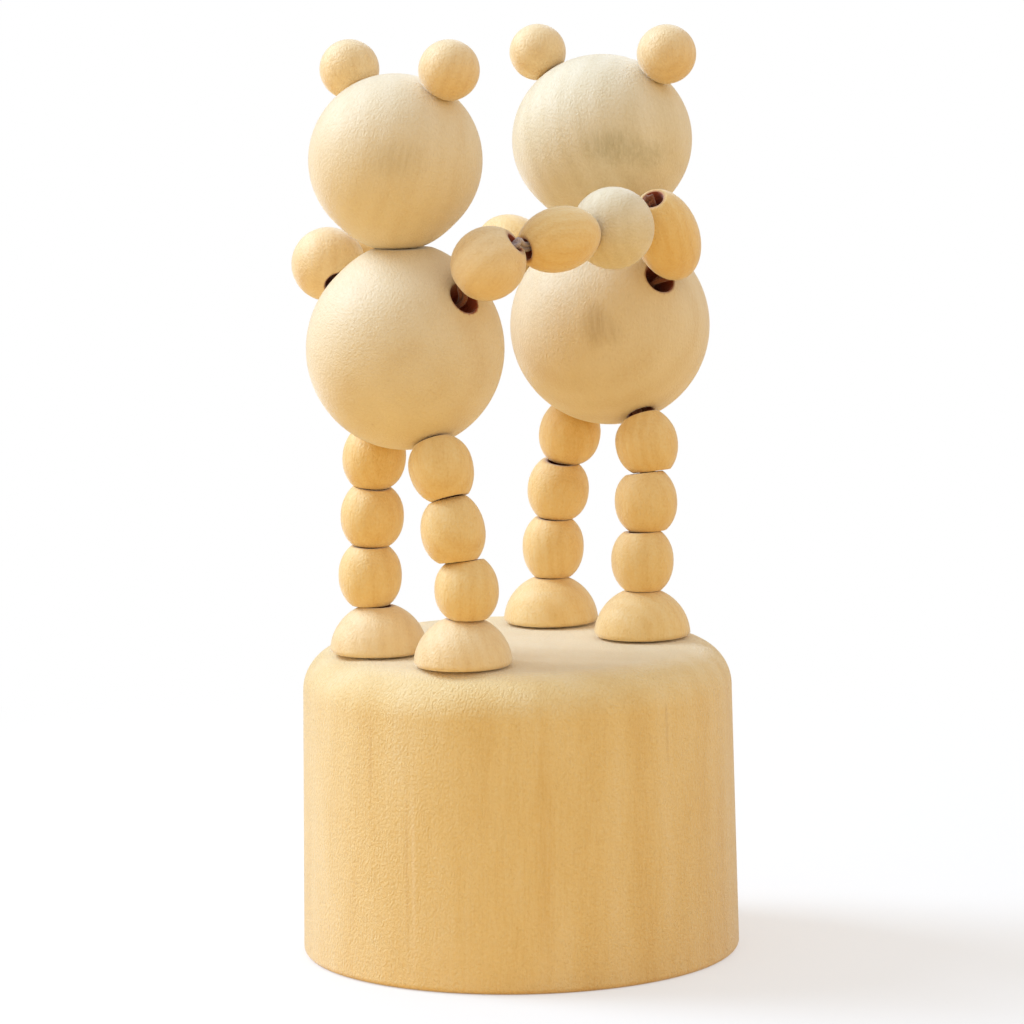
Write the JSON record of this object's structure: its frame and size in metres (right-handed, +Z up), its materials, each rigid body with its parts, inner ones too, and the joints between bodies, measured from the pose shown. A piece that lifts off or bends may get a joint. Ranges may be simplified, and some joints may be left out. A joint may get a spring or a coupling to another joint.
{
  "type": "wooden push-up toy figures",
  "caption": "Turned-wood bears of balls and beads holding hands on a round block; pressing the button under it slackens the cords and the bears lean over.",
  "frame": {"origin": "middle of the whole outline, on the surface the toy stands on; the base block's own axis is 0.41 mm to -X of it", "axes": "+Z up; bear A stands at -X and looks along +X at bear B, which stands at +X; bear A's right hand and bear B's left hand are on the -Y side"},
  "size_m": [0.0598, 0.056, 0.1183],
  "materials": {
    "pale_wood": "smooth sanded, unpainted",
    "base_wood": "sawn and sanded, unpainted",
    "cord": "braided cord",
    "spring_steel": "drawn wire"
  },
  "bodies": {
    "base": {"a_head_cord": "cord", "arm_cord_minus_y": "cord", "arm_cord_plus_y": "cord", "b_head_cord": "cord", "base_block": "base_wood", "foot_a_left": "pale_wood", "foot_a_right": "pale_wood", "foot_b_left": "pale_wood", "foot_b_right": "pale_wood", "return_spring": "spring_steel"},
    "button": {"push_button": "base_wood"},
    "a_body": {"a_body": "pale_wood"},
    "a_head": {"a_head": "pale_wood", "a_left_ear": "pale_wood", "a_right_ear": "pale_wood"},
    "a_left_arm_1": {"a_left_arm_1": "pale_wood"},
    "a_left_arm_2": {"a_left_arm_2": "pale_wood"},
    "a_left_leg_1": {"a_left_leg_1": "pale_wood"},
    "a_left_leg_2": {"a_left_leg_2": "pale_wood"},
    "a_left_leg_3": {"a_left_leg_3": "pale_wood"},
    "a_right_arm_1": {"a_right_arm_1": "pale_wood"},
    "a_right_arm_2": {"a_right_arm_2": "pale_wood"},
    "a_right_leg_1": {"a_right_leg_1": "pale_wood"},
    "a_right_leg_2": {"a_right_leg_2": "pale_wood"},
    "a_right_leg_3": {"a_right_leg_3": "pale_wood"},
    "b_body": {"b_body": "pale_wood"},
    "b_head": {"b_head": "pale_wood", "b_left_ear": "pale_wood", "b_right_ear": "pale_wood"},
    "b_left_arm_1": {"b_left_arm_1": "pale_wood"},
    "b_left_arm_2": {"b_left_arm_2": "pale_wood"},
    "b_left_leg_1": {"b_left_leg_1": "pale_wood"},
    "b_left_leg_2": {"b_left_leg_2": "pale_wood"},
    "b_left_leg_3": {"b_left_leg_3": "pale_wood"},
    "b_right_arm_1": {"b_right_arm_1": "pale_wood"},
    "b_right_arm_2": {"b_right_arm_2": "pale_wood"},
    "b_right_leg_1": {"b_right_leg_1": "pale_wood"},
    "b_right_leg_2": {"b_right_leg_2": "pale_wood"},
    "b_right_leg_3": {"b_right_leg_3": "pale_wood"}
  },
  "joints": [
    {"name": "button_press", "type": "slide", "parent": "base", "child": "button", "axis": [0, 0, 1], "range_m": [0, 0.007], "stiffness_N_per_m": 300, "springref_m": -0.01, "deforming": ["return_spring", "arm_cord_minus_y", "arm_cord_plus_y", "a_head_cord", "b_head_cord"]},
    {"name": "a_left_leg_1_tip", "type": "hinge", "parent": "base", "child": "a_left_leg_1", "pos_m": [-0.01486, 0.00875, 0.04545], "axis": [0, 1, 0], "range_deg": [0, 9.5]},
    {"name": "a_left_leg_2_tip", "type": "hinge", "parent": "a_left_leg_1", "child": "a_left_leg_2", "pos_m": [-0.01501, 0.00905, 0.0528], "axis": [0, 1, 0], "range_deg": [0, 9.5]},
    {"name": "a_left_leg_3_tip", "type": "hinge", "parent": "a_left_leg_2", "child": "a_left_leg_3", "pos_m": [-0.01531, 0.0088, 0.0603], "axis": [0, 1, 0], "range_deg": [0, 9.5]},
    {"name": "a_right_leg_1_tip", "type": "hinge", "parent": "base", "child": "a_right_leg_1", "pos_m": [-0.01486, -0.00835, 0.04545], "axis": [0, 1, 0], "range_deg": [0, 9.5]},
    {"name": "a_right_leg_2_tip", "type": "hinge", "parent": "a_right_leg_1", "child": "a_right_leg_2", "pos_m": [-0.01501, -0.00735, 0.0528], "axis": [0, 1, 0], "range_deg": [0, 9.5]},
    {"name": "a_right_leg_3_tip", "type": "hinge", "parent": "a_right_leg_2", "child": "a_right_leg_3", "pos_m": [-0.01531, -0.00595, 0.0603], "axis": [0, 1, 0], "range_deg": [0, 9.5]},
    {"name": "b_right_leg_1_tip", "type": "hinge", "parent": "base", "child": "b_right_leg_1", "pos_m": [0.01619, 0.0086, 0.04545], "axis": [0, 1, 0], "range_deg": [0, 9.5]},
    {"name": "b_right_leg_2_tip", "type": "hinge", "parent": "b_right_leg_1", "child": "b_right_leg_2", "pos_m": [0.01689, 0.0082, 0.05285], "axis": [0, 1, 0], "range_deg": [0, 9.5]},
    {"name": "b_right_leg_3_tip", "type": "hinge", "parent": "b_right_leg_2", "child": "b_right_leg_3", "pos_m": [0.01779, 0.0073, 0.0603], "axis": [0, 1, 0], "range_deg": [0, 9.5]},
    {"name": "b_left_leg_1_tip", "type": "hinge", "parent": "base", "child": "b_left_leg_1", "pos_m": [0.01619, -0.0088, 0.04545], "axis": [0, 1, 0], "range_deg": [0, 9.5]},
    {"name": "b_left_leg_2_tip", "type": "hinge", "parent": "b_left_leg_1", "child": "b_left_leg_2", "pos_m": [0.01689, -0.0085, 0.05285], "axis": [0, 1, 0], "range_deg": [0, 9.5]},
    {"name": "b_left_leg_3_tip", "type": "hinge", "parent": "b_left_leg_2", "child": "b_left_leg_3", "pos_m": [0.01779, -0.00775, 0.0603], "axis": [0, 1, 0], "range_deg": [0, 9.5]},
    {"name": "a_body_lean", "type": "hinge", "parent": "base", "child": "a_body", "pos_m": [-0.0136, 0.0014, 0.05658], "axis": [0, 1, 0], "range_deg": [0, 38]},
    {"name": "a_head_nod", "type": "hinge", "parent": "a_body", "child": "a_head", "pos_m": [-0.01551, 0.0021, 0.0913], "axis": [0, 1, 0], "range_deg": [0, 8]},
    {"name": "b_body_lean", "type": "hinge", "parent": "base", "child": "b_body", "pos_m": [0.01888, -0.0003, 0.05639], "axis": [0, 1, 0], "range_deg": [0, 38]},
    {"name": "b_head_nod", "type": "hinge", "parent": "b_body", "child": "b_head", "pos_m": [0.01899, 0.0003, 0.09205], "axis": [0, 1, 0], "range_deg": [0, 8]},
    {"name": "a_right_arm_1_turn", "type": "hinge", "parent": "a_body", "child": "a_right_arm_1", "pos_m": [-0.01561, -0.0119, 0.08995], "axis": [0, 1, 0], "range_deg": [-40.5, 0]},
    {"name": "a_right_arm_2_swing", "type": "hinge", "parent": "a_right_arm_1", "child": "a_right_arm_2", "pos_m": [-0.00636, -0.0124, 0.0904], "axis": [1, 0, 0], "range_deg": [0, 50]},
    {"name": "b_left_arm_1_turn", "type": "hinge", "parent": "b_body", "child": "b_left_arm_1", "pos_m": [0.01459, -0.0138, 0.0914], "axis": [0, 1, 0], "range_deg": [-40.5, 0]},
    {"name": "b_left_arm_2_swing", "type": "hinge", "parent": "b_left_arm_1", "child": "b_left_arm_2", "pos_m": [0.00414, -0.0124, 0.0904], "axis": [1, 0, 0], "range_deg": [0, 50]},
    {"name": "a_left_arm_1_turn", "type": "hinge", "parent": "a_body", "child": "a_left_arm_1", "pos_m": [-0.01721, 0.0158, 0.0886], "axis": [0, 1, 0], "range_deg": [-41, 0]},
    {"name": "a_left_arm_2_swing", "type": "hinge", "parent": "a_left_arm_1", "child": "a_left_arm_2", "pos_m": [-0.00511, 0.0156, 0.0887], "axis": [1, 0, 0], "range_deg": [0, 12]},
    {"name": "b_right_arm_1_turn", "type": "hinge", "parent": "b_body", "child": "b_right_arm_1", "pos_m": [0.01319, 0.0153, 0.0889], "axis": [0, 1, 0], "range_deg": [-41, 0]},
    {"name": "b_right_arm_2_swing", "type": "hinge", "parent": "b_right_arm_1", "child": "b_right_arm_2", "pos_m": [0.00609, 0.0156, 0.0887], "axis": [1, 0, 0], "range_deg": [0, 12]}
  ],
  "couplings": [
    {"joint": "a_left_leg_1_tip", "follows": "button_press", "rad_per_m": 23.687},
    {"joint": "a_left_leg_2_tip", "follows": "button_press", "rad_per_m": 23.687},
    {"joint": "a_left_leg_3_tip", "follows": "button_press", "rad_per_m": 23.687},
    {"joint": "a_right_leg_1_tip", "follows": "button_press", "rad_per_m": 23.687},
    {"joint": "a_right_leg_2_tip", "follows": "button_press", "rad_per_m": 23.687},
    {"joint": "a_right_leg_3_tip", "follows": "button_press", "rad_per_m": 23.687},
    {"joint": "b_right_leg_1_tip", "follows": "button_press", "rad_per_m": 23.687},
    {"joint": "b_right_leg_2_tip", "follows": "button_press", "rad_per_m": 23.687},
    {"joint": "b_right_leg_3_tip", "follows": "button_press", "rad_per_m": 23.687},
    {"joint": "b_left_leg_1_tip", "follows": "button_press", "rad_per_m": 23.687},
    {"joint": "b_left_leg_2_tip", "follows": "button_press", "rad_per_m": 23.687},
    {"joint": "b_left_leg_3_tip", "follows": "button_press", "rad_per_m": 23.687},
    {"joint": "a_body_lean", "follows": "button_press", "rad_per_m": 94.746},
    {"joint": "a_head_nod", "follows": "button_press", "rad_per_m": 19.947},
    {"joint": "b_body_lean", "follows": "button_press", "rad_per_m": 94.746},
    {"joint": "b_head_nod", "follows": "button_press", "rad_per_m": 19.947},
    {"joint": "a_right_arm_1_turn", "follows": "button_press", "rad_per_m": -100.98},
    {"joint": "a_right_arm_2_swing", "follows": "button_press", "rad_per_m": 124.67},
    {"joint": "b_left_arm_1_turn", "follows": "button_press", "rad_per_m": -100.98},
    {"joint": "b_left_arm_2_swing", "follows": "button_press", "rad_per_m": 124.67},
    {"joint": "a_left_arm_1_turn", "follows": "button_press", "rad_per_m": -102.23},
    {"joint": "a_left_arm_2_swing", "follows": "button_press", "rad_per_m": 29.92},
    {"joint": "b_right_arm_1_turn", "follows": "button_press", "rad_per_m": -102.23},
    {"joint": "b_right_arm_2_swing", "follows": "button_press", "rad_per_m": 29.92}
  ]
}
